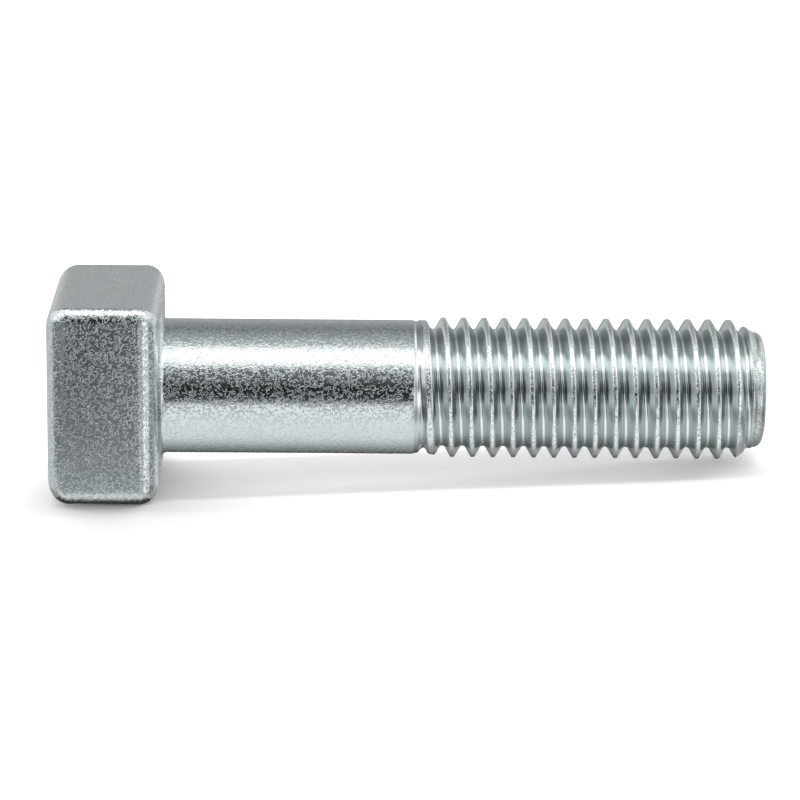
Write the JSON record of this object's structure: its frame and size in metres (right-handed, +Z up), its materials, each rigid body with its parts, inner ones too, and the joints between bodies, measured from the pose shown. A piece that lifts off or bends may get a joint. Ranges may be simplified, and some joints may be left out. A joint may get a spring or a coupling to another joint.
{
  "type": "battery bolt",
  "caption": "Square-head machine bolt with a plain shank and a coarse right-hand thread, for clamping a battery terminal lug.",
  "frame": {"origin": "middle of the part's footprint on the table that it lies on, at table height", "axes": "+X from the head to the point along the bolt as it lies, nose down by 2.61 degrees; +Y across the bolt, square to two flats of the head; +Z up"},
  "size_m": [0.0612, 0.017, 0.0173],
  "materials": {
    "zinc_plate": "bright zinc plate on steel, satin grained head and shank, smoother rolled thread"
  },
  "bodies": {
    "root": {"battery_bolt": "zinc_plate"}
  },
  "joints": []
}
